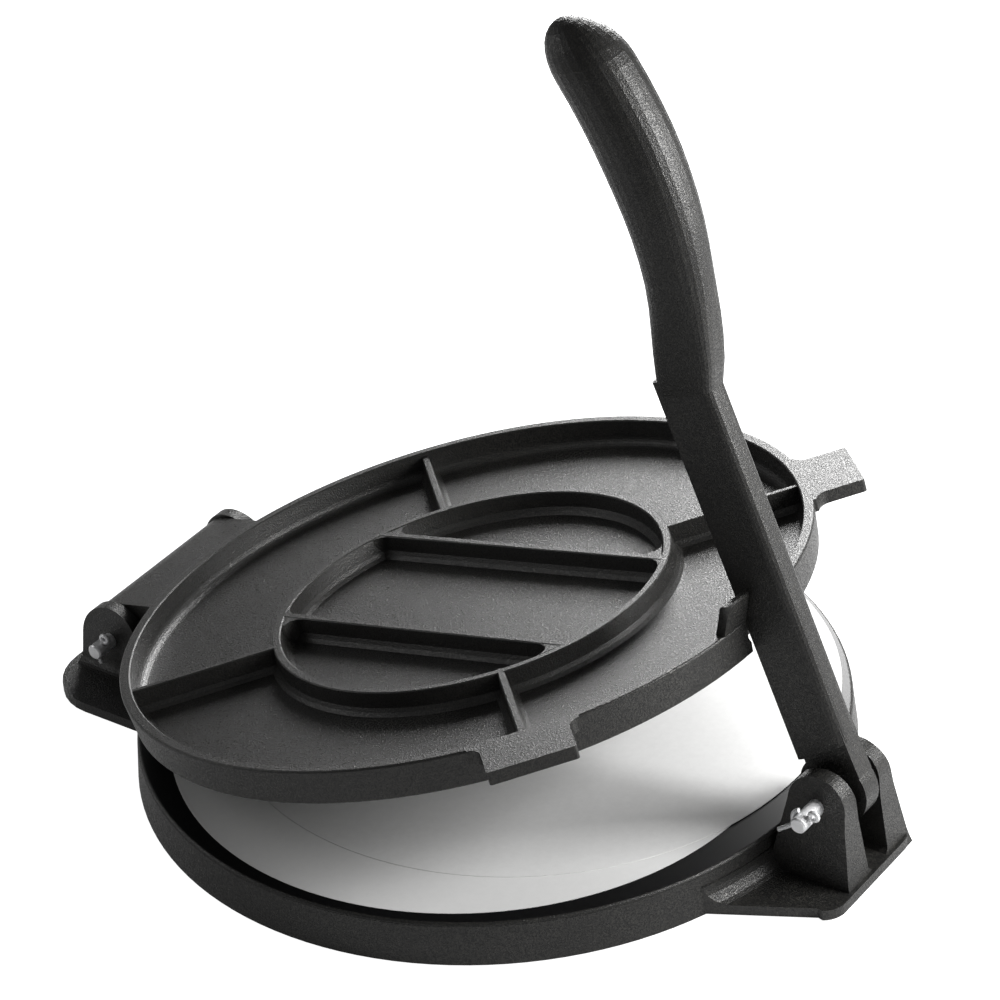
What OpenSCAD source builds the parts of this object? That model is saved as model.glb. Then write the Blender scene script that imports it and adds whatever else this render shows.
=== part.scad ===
// Cast iron tortilla press: a round base with a hinge at one end and a lever clevis at the other,
// a hinged upper plate stiffened by ribs, and a hand lever that presses the plate down.
// Origin: centre of the working face, on the table. +X runs from the hinge to the lever, +Z is up.

/* [Base] */
// Radius of the base at the table
base_r = 130; // [120:1:140]
// Height of the working face above the table
base_h = 16.4; // [15:0.1:18]
// Thickness of the working face
face_t = 5.5; // [4:0.5:7]
// Thickness of the base's outer wall
base_wall = 6; // [4:0.5:8]
// Sideways draft of the base's outer wall over its height
base_draft = 1.5; // [0.5:0.1:2.5]
// Height of the stiffening ribs under the working face
base_rib_depth = 7; // [4:0.5:8]
// Thickness of those ribs
base_rib_t = 4; // [3:0.5:6]
// Thickness of the flanges that carry the hinge and the clevis
flange_t = 4; // [3:0.5:5]

/* [Upper plate] */
// Radius of the upper plate at its rim top
plate_r = 127; // [118:1:127]
// Overall thickness of the upper plate at its rim
plate_t = 13.3; // [11:0.1:15]
// Thickness of the pressing web between the ribs
web_t = 3.3; // [2.5:0.1:5]
// Width of the rim's top
rim_w = 4; // [3.5:0.1:6]
// Sideways draft of the plate's outer wall over its height
plate_draft = 1.2; // [0.5:0.1:2]
// Distance from the base's centre to the plate's centre, towards the hinge
plate_setback = 1.9; // [0:0.1:3]
// How far the ribs stop below the rim's top
rib_drop = 1.7; // [0.5:0.1:3]
// Width of the ribs at their tops
rib_w = 2.5; // [2:0.1:4]
// Outer radius of the ring that the ribs meet
ring_r = 73; // [60:1:80]
// Distance of the ring's centre from the plate's centre, towards the lever
ring_shift = 2.6; // [0:0.1:4]
// Half distance between the two bars inside the ring
bar_y = 30; // [20:1:36]
// Width of a finger tab
tab_w = 30.4; // [24:0.2:36]
// Reach of a finger tab beyond the rim
tab_reach = 16.1; // [10:0.1:20]
// Thickness of a finger tab
tab_t = 4.8; // [4:0.1:8]
// Height of the guide ears above the rim's top
guide_rise = 11.2; // [6:0.1:12]
// Half distance over the two guide ears
guide_half = 18.8; // [15:0.1:24]
// How far the guide ears lean outward at their tops
guide_flare = 4.5; // [1:0.1:4.6]

/* [Hinge] */
// Distance from the base's centre back to the hinge axis
hinge_x = 146.4; // [145.5:0.1:150]
// Height of the hinge axis above the table
hinge_z = 15.8; // [15.4:0.1:16.6]
// Radius of the hinge ears
hinge_ear_r = 13.1; // [11:0.1:14]
// Half distance over the hinge ears, at the axis
hinge_ear_y = 40.3; // [38:0.1:44]
// Thickness of a hinge ear at the axis
hinge_ear_t = 6.7; // [5:0.1:8]
// Radius of the upper plate's hinge knuckle
knuckle_r = 12; // [10:0.1:12.5]
// Half length of the hinge flange along the pin
hinge_flange_y = 64; // [56:1:70]
// Reach of the hinge flange behind the hinge axis
hinge_flange_x = 16.9; // [15:0.1:20]

/* [Lever clevis] */
// Distance from the base's centre to the lever's pin
pivot_x = 144.2; // [143.8:0.1:150]
// Height of the lever's pin above the table
pivot_z = 31.8; // [31:0.1:36]
// Radius of the clevis ears' tops
clevis_r = 11.2; // [10:0.1:13]
// Half width of the clevis at the table
clevis_y = 20.4; // [18:0.1:24]
// Half width of the clevis slot at its floor
slot_y = 6.4; // [6:0.1:7.2]
// Height of the slot's floor above the table
slot_floor = 3.7; // [3:0.1:6]

/* [Lever] */
// Lean of the lever towards the hinge, from upright
lever_lean = 21; // [20:0.1:21.5]
// Half thickness of the lever's bar
bar_half = 5.2; // [4.5:0.1:5.6]
// Half thickness of the lever's eye
eye_half = 4; // [3.5:0.1:4.4]
// Radius of the lever's eye
eye_r = 13; // [11:0.1:13.5]
// Reach of the bar's inner edge, from the pin
bar_inner = 9.4; // [8:0.1:9.6]
// Reach of the bar's outer edge, from the pin
bar_outer = 12.6; // [11:0.1:14]
// Distance from the pin to the grip's tip
lever_len = 281.5; // [262:0.5:300]
// Greatest half width of the grip, across its curve
grip_w = 13.6; // [11:0.1:15]
// Greatest half thickness of the grip, along the pin
grip_t = 12; // [9:0.1:13]
// How far the grip bows outward from the pin's line
grip_bow = 17.3; // [12:0.1:20]

/* [Pins] */
// Diameter of both pins
pin_d = 6; // [5:0.1:7]
// Distance from the middle of the press to the hinge pin's open end
hinge_pin_end = 49.5; // [48.5:0.5:55]
// Distance from the middle of the press to the lever pin's open end
lever_pin_end = 27.5; // [26:0.5:32]
// Radius of the pins' heads
head_r = 4.5; // [4:0.1:5]
// Thickness of the pins' heads
head_t = 2.5; // [1.5:0.1:3]
// Wire diameter of the split pins
wire_d = 2; // [1.4:0.1:2.4]
// Distance from a pin's end to its split pin
wire_inset = 3.8; // [3:0.1:4]

/* [Liners] */
// Radius of the two paper liners
liner_r = 111; // [90:1:112]
// Thickness of one liner
liner_t = 0.15; // [0.1:0.05:0.3]

/* [Opening and clearances] */
// Angle between the upper plate and the base
open_angle = 13.52; // [0:0.01:14]
// Gap that stays between the liners and the closed plate
closed_gap = 0.3; // [0.3:0.05:1]
// Radial clearance of a bore on its pin
bore_gap = 0.05; // [0.03:0.01:0.08]
// Clearance at each side of the hinge knuckle
side_gap = 0.5; // [0.4:0.1:1]
// Clearance between the lever and the floor of the plate's notch
notch_gap = 6; // [5.8:0.1:8]
// Clearance at each side of the lever's bar in the notch
notch_side = 2.3; // [1.8:0.1:4]
// The same clearance at the plate's lower edge
notch_foot = 1.2; // [0.8:0.1:1.8]

/* [Hidden] */
$fn = 96;
iron = [0.16, 0.16, 0.17];
zinc = [0.78, 0.79, 0.80];
paper = [0.80, 0.80, 0.79];
face_r = base_r - base_draft;
plate_bottom = base_h + 2*liner_t + closed_gap;
plate_top = plate_bottom + plate_t;
knuckle_y = hinge_ear_y - hinge_ear_t - side_gap;
rib_top = plate_top - rib_drop;
web_top = plate_bottom + web_t;
leg_draft = 0.159;
slot_draft = 0.038;
end_draft = 0.1;
ear_lean = 0.16;
end_x = pivot_x + clevis_r + 3;
bore_r = pin_d/2 + bore_gap;
notch_half = bar_half + notch_side;
// The notch's wall: the lever's inner face at rest, less its clearance, swung about the hinge
notch_reach = (hinge_x + pivot_x)*cos(lever_lean) + (pivot_z - hinge_z)*sin(lever_lean)
    - bar_inner - notch_gap;
notch_x = sqrt(pow(notch_reach, 2) - pow(plate_top - hinge_z, 2)) - hinge_x;
guide_top = plate_top + guide_rise;

// Points of an arc about c, from angle a0 to a1, in n steps
function arc(c, r, a0, a1, n = 12) =
    [for (i = [0:n]) let (a = a0 + (a1 - a0)*i/n) [c[0] + r*cos(a), c[1] + r*sin(a)]];
// A smooth 0 to 1 step
function ease(s) = let (t = max(0, min(1, s))) t*t*(3 - 2*t);

// Extrude a side view, drawn in x and z, along y between y0 and y1
module side_view(y0, y1) {
    translate([0, y1, 0]) rotate([90, 0, 0]) linear_extrude(y1 - y0) children();
}
// Extrude an end view, drawn in y and z, along x between x0 and x1
module end_view(x0, x1) {
    translate([x0, 0, 0]) rotate([90, 0, 90]) linear_extrude(x1 - x0) children();
}
// A hole along y
module cross_bore(x, z, r, half) {
    translate([x, 0, z]) rotate([90, 0, 0]) cylinder(r = r, h = 2*half, center = true);
}

// ---- base ----
module dish() {
    edge = 1.2;
    fillet = 5;
    inner = base_r - base_wall;
    under = base_h - face_t;
    rotate_extrude() polygon(concat(
        [[0, under]],
        [[inner - fillet - 1, under]],
        arc([inner - fillet - 1, under - fillet], fillet, 90, 10, 6),
        [[inner, 0], [base_r, 0]],
        [[face_r + 0.1, base_h - edge]],
        arc([face_r - edge, base_h - edge], edge, 0, 90, 6),
        [[0, base_h]]));
}
module underside_ribs() {
    z0 = base_h - face_t - base_rib_depth;
    reach = base_r - base_wall/2;
    for (a = [0, 90]) rotate([0, 0, a])
        translate([-reach, -base_rib_t/2, z0])
            cube([2*reach, base_rib_t, base_rib_depth + 1]);
}
// The flange at the hinge, open between the ears so that the knuckle can turn
module hinge_flange() {
    back = -hinge_x - hinge_flange_x;
    corner = 22;
    gap = knuckle_y + side_gap;
    difference() {
        linear_extrude(flange_t) polygon(concat(
            [[-base_r/2, -hinge_flange_y]],
            arc([back + corner, -hinge_flange_y + corner], corner, -90, -180, 8),
            arc([back + corner, hinge_flange_y - corner], corner, 180, 90, 8),
            [[-base_r/2, hinge_flange_y]]));
        translate([back - 1, -gap, -1]) cube([hinge_x + hinge_flange_x - base_r + 0.2, 2*gap, flange_t + 2]);
        translate([0, 0, -1]) cylinder(r = base_r - base_wall/2, h = flange_t + 2);
    }
}
module hinge_ear() {
    foot = 4;
    side = hinge_ear_y - hinge_ear_t;
    intersection() {
        side_view(side - 1, hinge_ear_y + foot + 4) polygon(concat(
            [[-hinge_x + hinge_ear_r + 0.6, 0]],
            arc([-hinge_x, hinge_z], hinge_ear_r, 0, 180, 24),
            [[-hinge_x - hinge_ear_r - 0.6, 0]]));
        end_view(-hinge_x - 20, -hinge_x + 20) polygon(concat(
            [[side, 0]],
            [[hinge_ear_y + ear_lean*hinge_z + foot, 0]],
            [for (i = [0:6]) let (a = 90*i/6)
                [hinge_ear_y + ear_lean*(hinge_z - flange_t) + foot*(1 - sin(a)) - ear_lean*foot*(1 - cos(a)),
                 flange_t + foot*(1 - cos(a))]],
            [[hinge_ear_y - ear_lean*hinge_ear_r, hinge_z + hinge_ear_r + 1]],
            [[side, hinge_z + hinge_ear_r + 1]]));
    }
}
// The flange round the clevis: wide on the near side, trimmed close on the far side
module clevis_outline() {
    tip = end_x + 2.2;
    polygon(concat(
        [[base_r*0.6, -75], [119, -49.6], [pivot_x + 10, -31.8]],
        arc([tip - 9, -24.5], 9, -60, 0, 6),
        [[tip, -15], [tip, 13]],
        arc([tip - 6, 15], 6, 0, 60, 5),
        [[pivot_x, 26], [110, 46], [base_r*0.6, 60]]));
}
module clevis_flange() {
    fillet = 7;
    linear_extrude(flange_t) clevis_outline();
    intersection() {
        linear_extrude(base_h) clevis_outline();
        rotate_extrude() polygon(concat(
            [[base_r - 3, flange_t - 0.5], [base_r + fillet - 0.4, flange_t - 0.5]],
            arc([base_r + fillet - 0.4, flange_t + fillet], fillet, -90, -180, 6),
            [[base_r - 3, flange_t + fillet]]));
    }
}
module clevis_legs() {
    top = pivot_z + clevis_r + 1;
    difference() {
        intersection() {
            side_view(-clevis_y - 1, clevis_y + 1) polygon(concat(
                [[face_r - 4, 0], [end_x + 2, 0], [end_x + 1, 3], [end_x + 0.3, 6], [end_x - 0.3, 10],
                 [end_x - end_draft*(pivot_z - 6), pivot_z - 6]],
                arc([pivot_x, pivot_z], clevis_r, 0, 180, 24),
                [[face_r - 0.4, 8], [face_r - 4, 7]]));
            end_view(face_r - 10, end_x + 5) polygon([
                [-clevis_y, 0], [clevis_y, 0],
                [clevis_y - leg_draft*top, top], [-clevis_y + leg_draft*top, top]]);
        }
        end_view(face_r - 1, end_x + 5) polygon([
            [-slot_y + 2, slot_floor], [slot_y - 2, slot_floor], [slot_y, slot_floor + 2],
            [slot_y + slot_draft*(top + 1), top + 1], [-slot_y - slot_draft*(top + 1), top + 1],
            [-slot_y, slot_floor + 2]]);
    }
}
module base() {
    color(iron) difference() {
        union() {
            dish();
            underside_ribs();
            hinge_flange();
            hinge_ear();
            mirror([0, 1, 0]) hinge_ear();
            difference() {
                clevis_flange();
                translate([0, 0, -1]) cylinder(r = base_r - base_wall/2, h = flange_t + 2);
            }
            clevis_legs();
        }
        cross_bore(-hinge_x, hinge_z, bore_r, hinge_ear_y + 12);
        cross_bore(pivot_x, pivot_z, bore_r, clevis_y + 4);
    }
}

// ---- liners ----
module lower_liner() {
    color(paper) translate([2.9, -12.3, base_h]) cylinder(r = liner_r, h = liner_t);
}
module upper_liner() {
    color(paper) translate([8, 13, base_h + liner_t]) cylinder(r = liner_r, h = liner_t);
}

// ---- upper plate, drawn closed and then swung open ----
// Place children in the plate's own frame: at the plate's centre, closed
module opened() {
    translate([-hinge_x, 0, hinge_z]) rotate([0, -open_angle, 0]) translate([hinge_x, 0, -hinge_z])
        children();
}
module plate_body() {
    edge = 0.8;
    translate([-plate_setback, 0, 0]) rotate_extrude() polygon(concat(
        [[0, plate_bottom]],
        arc([plate_r - plate_draft - edge, plate_bottom + edge], edge, -90, 0, 4),
        arc([plate_r - edge, plate_top - edge], edge, 0, 90, 4),
        [[0, plate_top]]));
}
module pocket() {
    fillet = 3.5;
    inner = plate_r - rim_w;
    translate([-plate_setback, 0, 0]) rotate_extrude() polygon(concat(
        [[0, web_top]],
        arc([inner - 0.5 - fillet, web_top + fillet], fillet, -90, -5, 6),
        [[inner, plate_top - 0.4], [inner + 0.6, plate_top + 0.2], [inner + 0.6, plate_top + 1],
         [0, plate_top + 1]]));
}
// A drafted rib section: narrow at the top, with a foot that spreads below the given height
function rib_section(w, foot_h) = let (z0 = web_top - 0.5, h = w/2 + 0.7, foot = 2.5) [
    [-h - foot, z0], [h + foot, z0], [h + foot*0.35, z0 + foot_h*0.55], [h, z0 + foot_h],
    [w/2, rib_top - 0.4], [w/2 - 0.4, rib_top], [-w/2 + 0.4, rib_top], [-w/2, rib_top - 0.4],
    [-h, z0 + foot_h], [-h - foot*0.35, z0 + foot_h*0.55]];
module ribs() {
    reach = plate_r - rim_w/2 + ring_shift;
    for (a = [45:90:315]) rotate([0, 0, a])
        end_view(ring_r - 3, reach) polygon(rib_section(rib_w, 2.7));
}
module ring() {
    mid = ring_r - 1.5;
    rotate_extrude() translate([mid, 0]) polygon(rib_section(3, 3));
}
module bars() {
    intersection() {
        for (s = [-1, 1]) translate([0, s*bar_y, 0]) end_view(-ring_r, ring_r) polygon(rib_section(3, 3.3));
        cylinder(r = ring_r - 1.5, h = plate_top);
    }
}
// Rounded corners where the bars meet the ring, beside one bar and on both of its sides
module gussets() {
    f = 4.5;
    inner = ring_r - 3.4;
    for (m = [0, 1], k = [0, 1], side = [-1, 1]) mirror([m, 0, 0]) mirror([0, k, 0]) {
        wall = bar_y + side*1.8;
        mid = [sqrt(pow(inner - f, 2) - pow(wall + side*f, 2)), wall + side*f];
        lean = atan2(mid[1], mid[0]);
        translate([0, 0, web_top - 0.8]) linear_extrude(rib_top - web_top + 0.6) polygon(concat(
            [[sqrt(inner*inner - wall*wall) + 1, wall - side]], arc(mid, f, lean, -side*90, 8)));
    }
}
// A finger tab, drawn along +X from the plate's centre
module tab() {
    end = plate_r + tab_reach;
    corner = 1.2;
    h = tab_w/2;
    translate([0, 0, plate_top - tab_t]) linear_extrude(tab_t) polygon(concat(
        [[plate_r - rim_w, -h - 4], [plate_r - 2.8, -h - 4]],
        arc([plate_r + 2, -h - 4.6], 4.6, 170, 90, 6),
        arc([end - corner, -h + corner], corner, -90, 0, 6),
        arc([end - corner, h - corner], corner, 0, 90, 6),
        arc([plate_r + 2, h + 4.6], 4.6, -90, -170, 6),
        [[plate_r - 2.8, h + 4], [plate_r - rim_w, h + 4]]));
}
// The block that joins the plate to its hinge knuckle
module hinge_block() {
    side_view(-knuckle_y, knuckle_y) polygon(concat(
        [[-plate_r + 9, plate_bottom], [-plate_r + 9, hinge_z + knuckle_r]],
        arc([-hinge_x, hinge_z], knuckle_r, 90, 360, 48),
        [[-hinge_x + knuckle_r, plate_bottom]]));
}
// Two guide ears on the rim, beside the notch that the lever drops into
module guide_ears() {
    edge = 0.6;
    corner = 3.5;
    inner = plate_r - rim_w + 0.6;
    outer = plate_r + guide_flare;
    end_x = outer - plate_setback - 0.6;
    intersection() {
        translate([-plate_setback, 0, 0]) rotate([0, 0, -15]) rotate_extrude(angle = 30) polygon([
            [inner, plate_top - 2], [inner, plate_top], [inner + guide_flare, guide_top - edge],
            [inner + guide_flare + edge, guide_top], [outer - edge, guide_top],
            [outer, guide_top - edge], [plate_r - 0.3, plate_top - 1], [plate_r - 0.3, plate_top - 2]]);
        translate([0, 0, plate_top - 3]) linear_extrude(guide_rise + 4) polygon(concat(
            [[plate_r/2, -guide_half]],
            arc([end_x - corner, -guide_half + corner], corner, -90, 0, 5),
            arc([end_x - corner, guide_half - corner], corner, 0, 90, 5),
            [[plate_r/2, guide_half]]));
    }
}
// The notch is narrower at the plate's lower edge than at the guide ears
module lever_notch() {
    foot = bar_half + notch_foot;
    translate([notch_x, 0, 0]) rotate([90, 0, 90]) linear_extrude(20) polygon([
        [-foot, plate_bottom - 1], [foot, plate_bottom - 1], [foot, plate_bottom + 4],
        [notch_half, plate_bottom + 6], [notch_half, guide_top + 1], [-notch_half, guide_top + 1],
        [-notch_half, plate_bottom + 6], [-foot, plate_bottom + 4]]);
}
module upper_plate() {
    color(iron) opened() difference() {
        union() {
            difference() {
                union() {
                    plate_body();
                    hinge_block();
                    translate([ring_shift - plate_setback, 0, 0])
                        for (a = [-45, 45]) rotate([0, 0, a]) tab();
                }
                pocket();
            }
            translate([ring_shift - plate_setback, 0, 0]) {
                ring();
                bars();
                gussets();
            }
            intersection() {
                translate([ring_shift - plate_setback, 0, 0]) ribs();
                translate([-plate_setback, 0, 0]) cylinder(r = plate_r - rim_w/2, h = plate_top + 1);
            }
            guide_ears();
        }
        lever_notch();
        cross_bore(-hinge_x, hinge_z, bore_r, knuckle_y + 1);
    }
}

// ---- lever, drawn upright from its pin and then leaned ----
// Place children in the lever's own frame: the pin at the origin, the bar along +Z
module leaned() {
    translate([pivot_x, 0, pivot_z]) rotate([0, -lever_lean, 0]) children();
}
bar_end = 156;
bar_mid = (bar_outer - bar_inner)/2;
// Centre line and half widths of the grip at a share s of its length
function grip_mid(s) = bar_mid + (grip_bow - bar_mid)*sin(90*min(1, s/0.53))
    - 10.5*pow(max(0, s - 0.55)/0.45, 2);
function grip_a(s) = (11 + 1.2*ease(s/0.08) + (grip_w - 12.2)*ease((s - 0.3)/0.4))*grip_end(s);
function grip_b(s) = (5.6 + (grip_t - 5.6)*sin(90*min(1, s/0.7)))*grip_end(s);
// The section's squareness: nearly the bar's rectangle at the start, an oval further up
function grip_square(s) = 2/(4.8 - 2.6*ease(s/0.3));
function power(v, e) = sign(v)*pow(abs(v), e);
function grip_end(s) = s < 0.86 ? 1 : sqrt(max(0, 1 - pow((s - 0.86)/0.14, 2)));
module grip() {
    start = 150;
    sides = 28;
    stations = concat([for (i = [0:14]) i/14*0.86], [for (i = [1:8]) 0.86 + 0.14*sin(i/8*88)]);
    n = len(stations);
    function ring_at(s) = [for (k = [0:sides - 1]) let (a = 360*(k + 0.5)/sides, e = grip_square(s)) [
        grip_mid(s) + grip_a(s)*power(cos(a), e), grip_b(s)*power(sin(a), e),
        start + (lever_len - start)*s]];
    points = [for (s = stations) each ring_at(s)];
    faces = concat(
        [[for (k = [0:sides - 1]) k]],
        [for (i = [0:n - 2]) for (k = [0:sides - 1]) let (m = (k + 1)%sides)
            [i*sides + k, (i + 1)*sides + k, (i + 1)*sides + m, i*sides + m]],
        [[for (k = [0:sides - 1]) n*sides - 1 - k]]);
    polyhedron(points, faces, convexity = 4);
}
// The bar's cross-section, with rounded edges
function bar_section() = let (r = 3.2, x0 = -bar_inner, x1 = bar_outer, y = bar_half) concat(
    arc([x1 - r, y - r], r, 0, 90, 4), arc([x0 + 1, y - 1], 1, 90, 180, 3),
    arc([x0 + 1, -y + 1], 1, 180, 270, 3), arc([x1 - r, -y + r], r, 270, 360, 4));
module bar() {
    foot = 14;
    intersection() {
        translate([0, 0, foot - 6]) linear_extrude(bar_end - foot + 6) polygon(bar_section());
        side_view(-bar_half - 1, bar_half + 1) polygon([
            [-bar_inner - 1, foot - 1.5], [-bar_inner + 3, foot - 1.2], [bar_outer + 1, foot + 4],
            [bar_outer + 1, bar_end], [-bar_inner - 1, bar_end]]);
    }
}
module eye() {
    rotate([90, 0, 0]) cylinder(r = eye_r, h = 2*eye_half, center = true);
    side_view(-eye_half, eye_half) polygon([
        [-bar_inner + 2, 4], [-bar_inner + 2, 24], [bar_outer - 0.6, 24], [bar_outer, 4]]);
}
module lever() {
    color(iron) leaned() difference() {
        union() {
            eye();
            bar();
            grip();
        }
        cross_bore(0, 0, bore_r, eye_half + 1);
    }
}

// ---- pins ----
// A pin along y: an open end at -near, cross-drilled for its split pin, and a head beyond +far
module headed_pin(near, far) {
    edge = 0.5;
    rotate([-90, 0, 0]) difference() {
        rotate_extrude() polygon([
            [0, -near], [pin_d/2 - edge, -near], [pin_d/2, -near + edge], [pin_d/2, far],
            [head_r, far], [head_r, far + head_t - edge], [head_r - edge, far + head_t],
            [0, far + head_t]]);
        translate([0, 0, wire_inset - near]) rotate([0, 90, 0])
            cylinder(d = wire_d + 0.2, h = pin_d + 2, center = true);
    }
}
// Place children at a pin's axis, turned by the tilt of its split pin
module at_hinge() {
    translate([-hinge_x, 0, hinge_z]) rotate([0, -61, 0]) children();
}
module at_pivot() {
    translate([pivot_x, 0, pivot_z]) rotate([0, -37, 0]) children();
}
module hinge_pin() {
    color(zinc) at_hinge() headed_pin(hinge_pin_end, hinge_ear_y + ear_lean*head_r + 0.2);
}
module lever_pin() {
    color(zinc) at_pivot() headed_pin(lever_pin_end, clevis_y - leg_draft*(pivot_z - head_r) + 0.2);
}
// A split pin through a pin along y: its loop at +X, its legs past the pin at -X
leg_r = wire_d*0.4;
wrap = pin_d/2 + leg_r + 0.25;
module split_pin_body() {
    loop = 1.5;
    translate([-wrap, 0, 0]) rotate([0, 90, 0]) cylinder(d = wire_d, h = 2*wrap);
    translate([pin_d/2 + 0.1 + leg_r + loop, 0, 0]) rotate([90, 0, 0]) rotate_extrude()
        translate([loop, 0]) circle(r = leg_r, $fn = 16);
}
// A leg from the pin's far side, bent sideways by an angle
module split_pin_leg(angle, len) {
    translate([-wrap, 0, 0]) {
        sphere(r = leg_r, $fn = 16);
        rotate([0, -90 - angle, 0]) cylinder(r = leg_r, h = len);
    }
}
module split_pins() {
    color(zinc) {
        at_hinge() translate([0, wire_inset - hinge_pin_end, 0]) {
            split_pin_body();
            split_pin_leg(52, 3.6);
            split_pin_leg(-52, 3.2);
        }
        at_pivot() translate([0, wire_inset - lever_pin_end, 0]) {
            split_pin_body();
            split_pin_leg(0, 8.2);
            rotate([90, 0, 0]) rotate_extrude(angle = -105, start = 180) translate([wrap, 0])
                circle(r = leg_r, $fn = 16);
        }
    }
}

base();
lower_liner();
upper_liner();
upper_plate();
lever();
hinge_pin();
lever_pin();
split_pins();
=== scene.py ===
import math

import bpy
from mathutils import Matrix, Vector


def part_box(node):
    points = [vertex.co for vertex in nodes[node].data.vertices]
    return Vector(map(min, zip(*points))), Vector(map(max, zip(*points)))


# A tortilla press: three black iron castings, two zinc-plated pins with their split pins, and two
# baking papers. Lengths are metres, and a name that ends in _MM holds millimetres.

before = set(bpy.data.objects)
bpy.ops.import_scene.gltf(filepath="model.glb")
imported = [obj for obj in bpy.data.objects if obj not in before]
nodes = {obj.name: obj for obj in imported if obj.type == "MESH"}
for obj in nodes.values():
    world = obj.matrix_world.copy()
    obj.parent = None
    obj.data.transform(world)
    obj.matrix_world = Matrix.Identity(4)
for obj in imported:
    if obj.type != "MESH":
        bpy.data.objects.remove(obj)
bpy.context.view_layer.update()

MM = 0.001


# ---- helpers ----

def linear(hex_colour):
    """An sRGB hex colour as the linear RGBA that Blender's sockets take."""
    parts = [int(hex_colour[i:i + 2], 16) / 255 for i in (1, 3, 5)]
    return [p / 12.92 if p <= 0.04045 else ((p + 0.055) / 1.055) ** 2.4 for p in parts] + [1.0]


def add(tree, kind, inputs=None, **settings):
    """Add a node; an input is a value or another node's output socket."""
    node = tree.nodes.new(kind)
    for name, value in settings.items():
        setattr(node, name, value)
    for name, value in (inputs or {}).items():
        if isinstance(value, bpy.types.NodeSocket):
            tree.links.new(value, node.inputs[name])
        else:
            node.inputs[name].default_value = value
    return node


def new_material(name):
    """An empty node material: its tree, and the object coordinates in metres."""
    material = bpy.data.materials.new(name)
    material.use_nodes = True
    tree = material.node_tree
    tree.nodes.clear()
    place = add(tree, "ShaderNodeTexCoord").outputs["Object"]
    return material, tree, place


def blobs(size_mm):
    """The noise scale whose blobs are about size_mm across."""
    return 1 / (size_mm * MM)


def finish_node(name, material):
    """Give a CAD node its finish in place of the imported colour."""
    slots = nodes[name].material_slots
    if not slots:
        nodes[name].data.materials.append(material)
    for entry in slots:
        entry.material = material


# ---- seasoned cast iron ----

# Moulding sand leaves a grain of about 0.3 mm, too fine to show here, so it is drawn coarser.
SAND_GRAIN_MM = 0.62
SAND_RELIEF_MM = 0.35
SAND_STRENGTH = 0.6
HOLLOW_COLOUR, TOP_COLOUR = "#040404", "#403f3c"
HOLLOW_ROUGHNESS, TOP_ROUGHNESS = 0.52, 0.24
TOP_METALLIC = 0.35         # on the tops of the grain, where the black skin is thin

RUBBED_PATCH_MM = 24
RUBBED_COLOUR = "#0c0c0c"
RUBBED_SHARE = 0.25

# The base's working face is ground flat, out to the rounding of its edge.
GROUND_RADIUS_MM = 127.4
GROUND_BAND_MM = 0.08
GROUND_COLOUR = "#0b0b0c"
GROUND_ROUGHNESS = 0.35
GROUND_STRENGTH = 0.03


def ground_face_mask(tree, place, height):
    """1 on the ground working face and 0 elsewhere: a thin band of height inside a radius."""
    at = add(tree, "ShaderNodeSeparateXYZ", {"Vector": place}).outputs
    level = add(tree, "ShaderNodeMath", {
        0: at["Z"], 1: height, 2: GROUND_BAND_MM * MM}, operation="COMPARE")
    flat = add(tree, "ShaderNodeCombineXYZ", {"X": at["X"], "Y": at["Y"]})
    reach = add(tree, "ShaderNodeVectorMath", {0: flat.outputs["Vector"]}, operation="LENGTH")
    inside = add(tree, "ShaderNodeMath", {
        0: reach.outputs["Value"], 1: GROUND_RADIUS_MM * MM}, operation="LESS_THAN")
    return add(tree, "ShaderNodeMath", {
        0: level.outputs["Value"], 1: inside.outputs["Value"]},
        operation="MULTIPLY").outputs["Value"]


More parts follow.
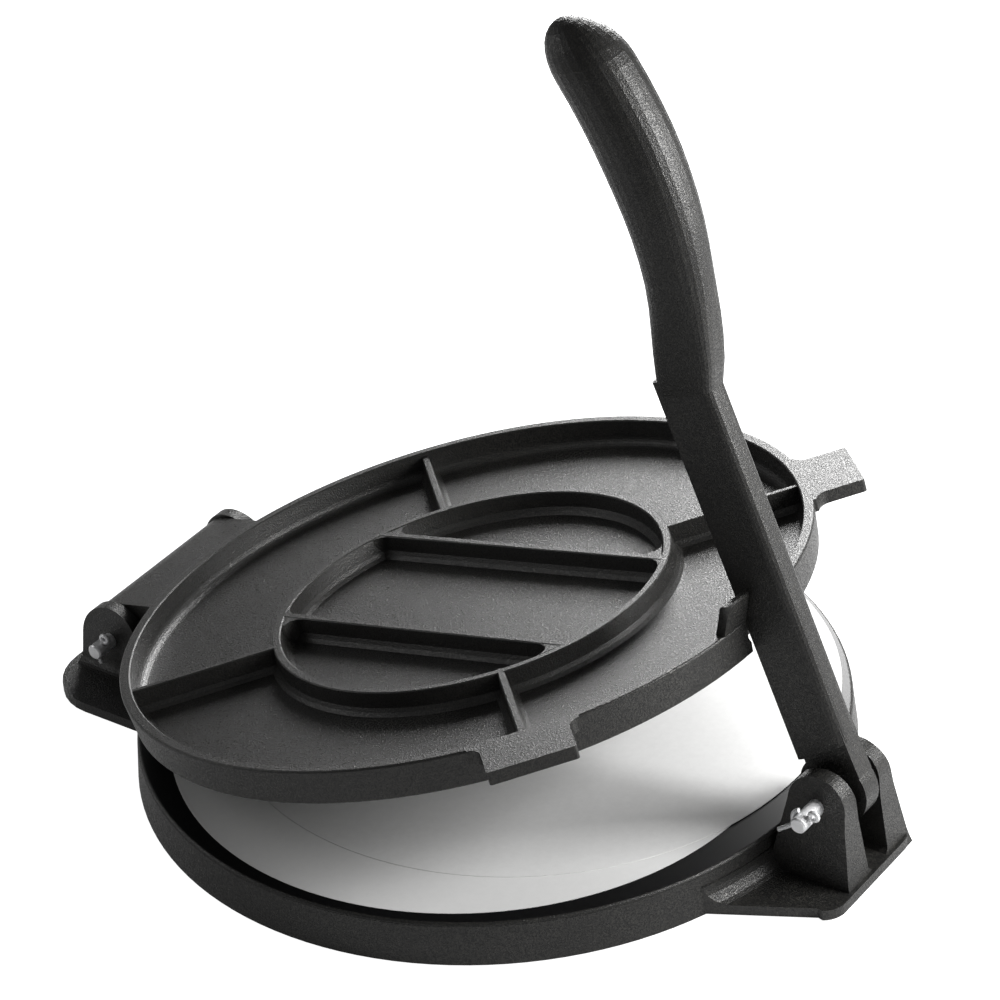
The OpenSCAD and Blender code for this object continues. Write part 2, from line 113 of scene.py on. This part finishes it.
def cast_iron(name, ground_height=None):
    """Sand-cast grey iron with a black seasoned skin.

    The eye sees a near-black, half-matt skin whose sand grain breaks every highlight into fine
    specks. The working face, at ground_height, is ground: smooth, and an even black.
    """
    material, tree, place = new_material(name)
    grain = add(tree, "ShaderNodeTexNoise", {
        "Vector": place, "Scale": blobs(SAND_GRAIN_MM),
        "Detail": 2.0, "Roughness": 0.7}).outputs["Fac"]
    cloud = add(tree, "ShaderNodeTexNoise", {
        "Vector": place, "Scale": blobs(RUBBED_PATCH_MM),
        "Detail": 2.0, "Roughness": 0.55}).outputs["Fac"]
    speck = add(tree, "ShaderNodeMapRange", {
        "Value": grain, "From Min": 0.44, "From Max": 0.62}).outputs["Result"]
    tint = add(tree, "ShaderNodeMix", {
        "Factor": speck, "A": linear(HOLLOW_COLOUR), "B": linear(TOP_COLOUR)},
        data_type="RGBA").outputs["Result"]
    rubbed = add(tree, "ShaderNodeMapRange", {
        "Value": cloud, "From Min": 0.35, "From Max": 0.65,
        "To Min": 0.0, "To Max": RUBBED_SHARE}).outputs["Result"]
    shade = add(tree, "ShaderNodeMix", {
        "Factor": rubbed, "A": tint, "B": linear(RUBBED_COLOUR)},
        data_type="RGBA").outputs["Result"]
    gloss = add(tree, "ShaderNodeMapRange", {
        "Value": grain, "From Min": 0.42, "From Max": 0.60,
        "To Min": HOLLOW_ROUGHNESS, "To Max": TOP_ROUGHNESS}).outputs["Result"]
    bare = add(tree, "ShaderNodeMath", {
        0: speck, 1: TOP_METALLIC}, operation="MULTIPLY").outputs["Value"]
    strength = SAND_STRENGTH
    if ground_height is not None:
        face = ground_face_mask(tree, place, ground_height)
        shade = add(tree, "ShaderNodeMix", {
            "Factor": face, "A": shade, "B": linear(GROUND_COLOUR)},
            data_type="RGBA").outputs["Result"]
        gloss = add(tree, "ShaderNodeMix", {
            "Factor": face, "A": gloss, "B": GROUND_ROUGHNESS}).outputs["Result"]
        bare = add(tree, "ShaderNodeMix", {"Factor": face, "A": bare, "B": 0.0}).outputs["Result"]
        strength = add(tree, "ShaderNodeMapRange", {
            "Value": face, "To Min": SAND_STRENGTH, "To Max": GROUND_STRENGTH}).outputs["Result"]
    skin = add(tree, "ShaderNodeBump", {
        "Height": grain, "Strength": strength, "Distance": SAND_RELIEF_MM * MM})
    shader = add(tree, "ShaderNodeBsdfPrincipled", {
        "Base Color": shade, "Roughness": gloss, "Metallic": bare,
        "Normal": skin.outputs["Normal"]})
    add(tree, "ShaderNodeOutputMaterial", {"Surface": shader.outputs["BSDF"]})
    return material


# ---- zinc-plated steel ----

ZINC_MOTTLE_MM = 1.5
ZINC_RELIEF_MM = 0.05
ZINC_STRENGTH = 0.1
BRIGHT_ROUGHNESS, DULL_ROUGHNESS = 0.24, 0.42
ZINC_LOW_COLOUR, ZINC_HIGH_COLOUR = "#dcdddf", "#f4f4f5"
ZINC_METALLIC = 0.35        # low, as the pale bloom on zinc plate scatters most of the light


def zinc_plated_steel():
    """Zinc plate on drawn steel rod and wire: a pale silver with a faint mottle."""
    material, tree, place = new_material("zinc_plated_steel")
    mottle = add(tree, "ShaderNodeTexNoise", {
        "Vector": place, "Scale": blobs(ZINC_MOTTLE_MM), "Detail": 2.0}).outputs["Fac"]
    gloss = add(tree, "ShaderNodeMapRange", {
        "Value": mottle, "To Min": BRIGHT_ROUGHNESS, "To Max": DULL_ROUGHNESS}).outputs["Result"]
    tint = add(tree, "ShaderNodeMix", {
        "Factor": mottle, "A": linear(ZINC_LOW_COLOUR), "B": linear(ZINC_HIGH_COLOUR)},
        data_type="RGBA").outputs["Result"]
    skin = add(tree, "ShaderNodeBump", {
        "Height": mottle, "Strength": ZINC_STRENGTH, "Distance": ZINC_RELIEF_MM * MM})
    shader = add(tree, "ShaderNodeBsdfPrincipled", {
        "Base Color": tint, "Roughness": gloss, "Metallic": ZINC_METALLIC,
        "Normal": skin.outputs["Normal"]})
    add(tree, "ShaderNodeOutputMaterial", {"Surface": shader.outputs["BSDF"]})
    return material


# ---- baking paper ----

FIBRE_CLOUD_MM = 2.2
FIBRE_RELIEF_MM = 0.05
FIBRE_STRENGTH = 0.08
FIBRE_COLOUR = "#eeeeed"
SMOOTH_ROUGHNESS, FIBRE_ROUGHNESS = 0.36, 0.48
LOWER_PAPER = "#e6e6e5"
UPPER_PAPER = "#e2e2e1"


def coated_paper(name, colour):
    """Silicone-coated baking paper: pale, smooth, with a soft sheen and a faint fibre cloud."""
    material, tree, place = new_material(name)
    fibre = add(tree, "ShaderNodeTexNoise", {
        "Vector": place, "Scale": blobs(FIBRE_CLOUD_MM),
        "Detail": 3.0, "Roughness": 0.6}).outputs["Fac"]
    tint = add(tree, "ShaderNodeMix", {
        "Factor": fibre, "A": linear(colour), "B": linear(FIBRE_COLOUR)},
        data_type="RGBA").outputs["Result"]
    gloss = add(tree, "ShaderNodeMapRange", {
        "Value": fibre, "To Min": SMOOTH_ROUGHNESS, "To Max": FIBRE_ROUGHNESS}).outputs["Result"]
    skin = add(tree, "ShaderNodeBump", {
        "Height": fibre, "Strength": FIBRE_STRENGTH, "Distance": FIBRE_RELIEF_MM * MM})
    shader = add(tree, "ShaderNodeBsdfPrincipled", {
        "Base Color": tint, "Roughness": gloss, "Normal": skin.outputs["Normal"]})
    add(tree, "ShaderNodeOutputMaterial", {"Surface": shader.outputs["BSDF"]})
    return material


# ---- the press ----

working_face_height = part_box("lower_liner")[0][2]   # the lower liner lies on the working face
finish_node("base", cast_iron("seasoned_iron_base", working_face_height))
finish_node("upper_plate", cast_iron("seasoned_iron_plate"))
finish_node("lever", cast_iron("seasoned_iron_lever"))
zinc = zinc_plated_steel()
for name in ("hinge_pin", "lever_pin", "split_pins"):
    finish_node(name, zinc)
finish_node("lower_liner", coated_paper("baking_paper_lower", LOWER_PAPER))
finish_node("upper_liner", coated_paper("baking_paper_upper", UPPER_PAPER))


# ---- studio ----

FLOOR_SIDE = 12.0
FLOOR_DROP_MM = 0.5         # keeps the floor out of the plane of the base's foot
FLOOR_PAPER = "#dedede"
WHITE = "#ffffff"
FLOOR_FILL = 0.08           # how strongly the floor and the world light the press
WORLD_FILL = 0.02
MIRRORED_SHARE = 0.12       # how much of the white backdrop the press's gloss shows

# Each lamp's name, place, point that it is aimed at, side and power in watts.
SOFT_BOXES = (
    ("back_left_box", (-0.44, 0.94, 0.44), (0, 0, 0.06), 0.5, 14.5),
    ("right_box", (0.50, 0.20, 0.34), (0.05, 0, 0.06), 0.25, 5.0),
    ("front_right_box", (0.78, -0.45, 0.69), (0, 0, 0.06), 0.5, 0.5),
    ("front_left_box", (-0.85, -0.40, 0.50), (-0.1, 0, 0.03), 0.4, 1.2),
)


def backdrop_strength(tree, fill):
    """White to the camera and through glass, a share of that in gloss, and fill as a light."""
    path = add(tree, "ShaderNodeLightPath").outputs
    mirrored = add(tree, "ShaderNodeMath", {
        0: path["Is Glossy Ray"], 1: MIRRORED_SHARE}, operation="MULTIPLY").outputs["Value"]
    straight = add(tree, "ShaderNodeMath", {
        0: path["Is Camera Ray"], 1: path["Is Transmission Ray"]},
        operation="MAXIMUM").outputs["Value"]
    seen = add(tree, "ShaderNodeMath", {0: straight, 1: mirrored}, operation="MAXIMUM")
    return add(tree, "ShaderNodeMapRange", {
        "Value": seen.outputs["Value"], "To Min": fill, "To Max": 1.0}).outputs["Result"]


def studio_floor():
    """A pale floor, wide enough to fill every view."""
    mesh = bpy.data.meshes.new("studio_floor")
    h = FLOOR_SIDE / 2
    mesh.from_pydata([(-h, -h, 0), (h, -h, 0), (h, h, 0), (-h, h, 0)], [], [(0, 1, 2, 3)])
    floor = bpy.data.objects.new("studio_floor", mesh)
    floor.location.z = -FLOOR_DROP_MM * MM
    bpy.context.scene.collection.objects.link(floor)
    material, tree, _ = new_material("pale_studio_paper")
    paint = add(tree, "ShaderNodeBsdfDiffuse", {"Color": linear(FLOOR_PAPER)})
    lit = add(tree, "ShaderNodeEmission", {
        "Color": linear(WHITE), "Strength": backdrop_strength(tree, FLOOR_FILL)})
    both = add(tree, "ShaderNodeAddShader", {
        0: paint.outputs["BSDF"], 1: lit.outputs["Emission"]})
    add(tree, "ShaderNodeOutputMaterial", {"Surface": both.outputs["Shader"]})
    mesh.materials.append(material)


def studio_world():
    """White all round, with almost no light of its own."""
    world = bpy.data.worlds.new("studio_world")
    world.use_nodes = True
    tree = world.node_tree
    tree.nodes.clear()
    sky = add(tree, "ShaderNodeBackground", {
        "Color": linear(WHITE), "Strength": backdrop_strength(tree, WORLD_FILL)})
    add(tree, "ShaderNodeOutputWorld", {"Surface": sky.outputs["Background"]})
    bpy.context.scene.world = world


def soft_box(name, place, aim, side, power):
    """A square area lamp, aimed at a point."""
    lamp = bpy.data.lights.new(name, "AREA")
    lamp.shape = "SQUARE"
    lamp.size = side
    lamp.energy = power
    box = bpy.data.objects.new(name, lamp)
    box.location = place
    box.rotation_euler = (Vector(aim) - Vector(place)).to_track_quat("-Z", "Y").to_euler()
    bpy.context.scene.collection.objects.link(box)


studio_floor()
studio_world()
for lamp_row in SOFT_BOXES:
    soft_box(*lamp_row)


# ---- camera ----

CAMERA_AZIMUTH = 37.44
CAMERA_ELEVATION = 32.57
CAMERA_ROLL = -4.62
CAMERA_DISTANCE = 1.3942
CAMERA_AIM = Vector((-0.01036, 0.02642, 0.08270))
CAMERA_CLIP_START = 0.05
FOCAL_PIXELS = 3918.9
IMAGE_WIDTH = 1000
SENSOR_MM = 36

azimuth = math.radians(CAMERA_AZIMUTH)
elevation = math.radians(CAMERA_ELEVATION)
roll = math.radians(CAMERA_ROLL)
away = Vector((math.sin(azimuth) * math.cos(elevation), -math.cos(azimuth) * math.cos(elevation),
               math.sin(elevation)))
right = Vector((math.cos(azimuth), math.sin(azimuth), 0))
up = away.cross(right)
rolled_right = math.cos(roll) * right + math.sin(roll) * up
rolled_up = math.cos(roll) * up - math.sin(roll) * right

lens = bpy.data.cameras.new("studio_camera")
lens.sensor_width = SENSOR_MM
lens.lens = FOCAL_PIXELS / IMAGE_WIDTH * SENSOR_MM
lens.clip_start = CAMERA_CLIP_START
camera = bpy.data.objects.new("studio_camera", lens)
turn = Matrix((rolled_right, rolled_up, away)).transposed().to_4x4()
camera.matrix_world = Matrix.Translation(CAMERA_AIM + CAMERA_DISTANCE * away) @ turn
bpy.context.scene.collection.objects.link(camera)
bpy.context.scene.camera = camera
bpy.context.scene.view_settings.view_transform = "Standard"
